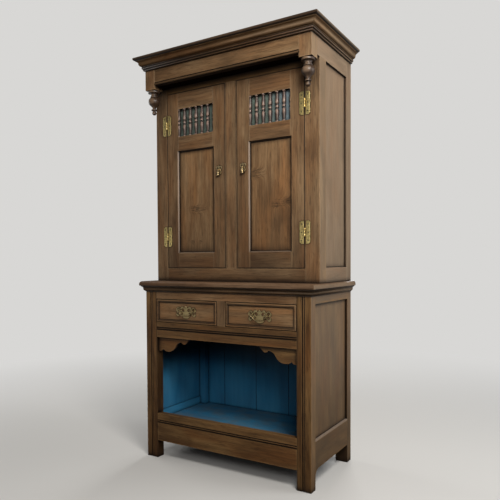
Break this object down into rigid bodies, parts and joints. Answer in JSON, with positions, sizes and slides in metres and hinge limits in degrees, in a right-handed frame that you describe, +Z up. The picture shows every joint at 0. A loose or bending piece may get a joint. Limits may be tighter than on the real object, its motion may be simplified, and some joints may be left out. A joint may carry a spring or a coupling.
{
  "type": "court cupboard",
  "caption": "Tall oak cupboard in two stages: grilled doors above under a moulded cornice with pendants, drawers and an open bracketed niche below.",
  "frame": {"origin": "centre of the footprint of the whole cupboard, on the floor", "axes": "+Z up, -Y out of the front (doors and drawers), +X to the viewer's right"},
  "size_m": [0.952, 0.472, 1.9],
  "materials": {
    "oak": "waxed and aged, darker in the mouldings",
    "inner_pine": "plain and unpolished",
    "blue_paint": "flat blue paint over wood",
    "grey_paint": "flat grey-green paint over wood",
    "brass": "aged, brighter where it is handled"
  },
  "bodies": {
    "case": {"base_front_posts": "oak", "base_back_posts": "oak", "base_side_panels": "oak", "base_side_rails": "oak", "base_front_top_rail": "oak", "drawer_divider": "oak", "drawer_rail": "oak", "base_front_bottom_rail": "oak", "niche_brackets": "oak", "base_back_rails": "blue_paint", "base_back_boards": "blue_paint", "niche_floor": "blue_paint", "dust_board": "inner_pine", "drawer_runners": "inner_pine", "board_bearers": "inner_pine", "base_top_board": "oak", "waist_bed_moulding": "oak", "upper_front_posts": "oak", "upper_back_posts": "oak", "upper_side_panels": "oak", "upper_side_rails": "oak", "upper_front_bottom_rail": "oak", "upper_front_top_rail": "oak", "door_mullion": "oak", "upper_back_rails": "inner_pine", "upper_back_boards": "inner_pine", "upper_floor": "inner_pine", "shelf": "inner_pine", "ceiling_board": "inner_pine", "frieze_board": "oak", "frieze_corner_blocks": "oak", "corner_pendants": "oak", "cornice_bed_moulding": "oak", "cornice_cyma": "oak", "cornice_top_board": "oak", "case_hinges": "brass"},
    "door_right": {"door_right_stiles": "oak", "door_right_rails": "oak", "door_right_panel": "oak", "door_right_spindles": "oak", "door_right_grille_board": "grey_paint", "door_right_hinge_leaves": "brass", "door_right_pull_plate": "brass"},
    "drop_right": {"door_right_pull_drop": "brass"},
    "drawer_right": {"drawer_right_front": "oak", "drawer_right_box": "inner_pine", "drawer_right_handle_plate": "brass"},
    "bail_right": {"drawer_right_bail": "brass"},
    "door_left": {"door_left_stiles": "oak", "door_left_rails": "oak", "door_left_panel": "oak", "door_left_spindles": "oak", "door_left_grille_board": "grey_paint", "door_left_hinge_leaves": "brass", "door_left_pull_plate": "brass"},
    "drop_left": {"door_left_pull_drop": "brass"},
    "drawer_left": {"drawer_left_front": "oak", "drawer_left_box": "inner_pine", "drawer_left_handle_plate": "brass"},
    "bail_left": {"drawer_left_bail": "brass"}
  },
  "joints": [
    {"name": "door_right_hinge", "type": "hinge", "parent": "case", "child": "door_right", "pos_m": [0.36625, -0.1198, 1.3215], "axis": [0, 0, 1], "range_deg": [0, 95]},
    {"name": "drop_right_hinge", "type": "hinge", "parent": "door_right", "child": "drop_right", "pos_m": [0.0645, -0.1246, 1.352], "axis": [-1, 0, 0], "range_deg": [0, 80]},
    {"name": "drawer_right_slide", "type": "slide", "parent": "case", "child": "drawer_right", "axis": [0, -1, 0], "range_m": [0, 0.3]},
    {"name": "bail_right_hinge", "type": "hinge", "parent": "drawer_right", "child": "bail_right", "pos_m": [0.1955, -0.2108, 0.71155], "axis": [-1, 0, 0], "range_deg": [0, 90]},
    {"name": "door_left_hinge", "type": "hinge", "parent": "case", "child": "door_left", "pos_m": [-0.36625, -0.1198, 1.3215], "axis": [0, 0, -1], "range_deg": [0, 95]},
    {"name": "drop_left_hinge", "type": "hinge", "parent": "door_left", "child": "drop_left", "pos_m": [-0.0645, -0.1246, 1.352], "axis": [-1, 0, 0], "range_deg": [0, 80]},
    {"name": "drawer_left_slide", "type": "slide", "parent": "case", "child": "drawer_left", "axis": [0, -1, 0], "range_m": [0, 0.3]},
    {"name": "bail_left_hinge", "type": "hinge", "parent": "drawer_left", "child": "bail_left", "pos_m": [-0.1955, -0.2108, 0.71155], "axis": [-1, 0, 0], "range_deg": [0, 90]}
  ]
}
